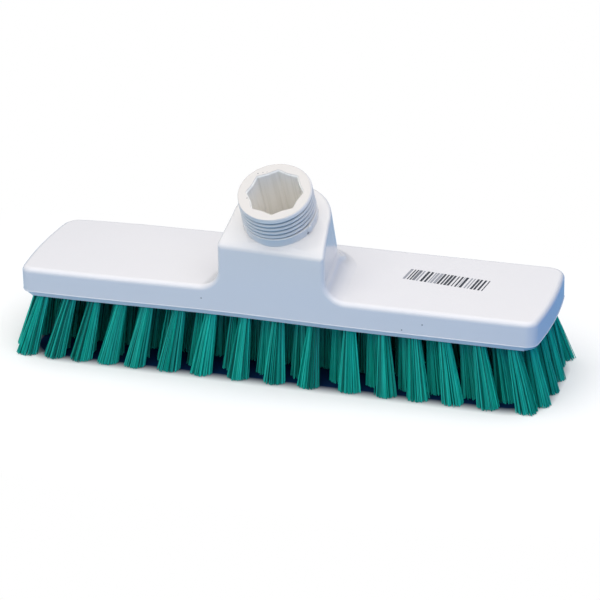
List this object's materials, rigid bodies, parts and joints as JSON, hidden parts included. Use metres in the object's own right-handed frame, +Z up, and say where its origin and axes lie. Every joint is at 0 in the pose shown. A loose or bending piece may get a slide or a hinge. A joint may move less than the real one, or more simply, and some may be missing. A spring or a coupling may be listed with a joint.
{
  "type": "floor scrub brush head",
  "caption": "Long floor scrub brush head: moulded block with a leaning threaded collar and star socket for a handle, and rows of splayed stiff bristle tufts.",
  "frame": {"origin": "under the middle of the whole head, on the floor plane that the bristle tips stand on", "axes": "+X along the block, +Y across it away from the side that the collar leans to, +Z up"},
  "size_m": [0.2923, 0.0796, 0.1115],
  "materials": {
    "block_plastic": "smooth moulded polypropylene, slight sheen",
    "bristle_fibre": "extruded polyester filament, satin"
  },
  "bodies": {
    "root": {"block": "block_plastic", "bristles_front_outer": "bristle_fibre", "bristles_front_middle": "bristle_fibre", "bristles_front_inner": "bristle_fibre", "bristles_back_inner": "bristle_fibre", "bristles_back_middle": "bristle_fibre", "bristles_back_outer": "bristle_fibre"}
  },
  "joints": []
}
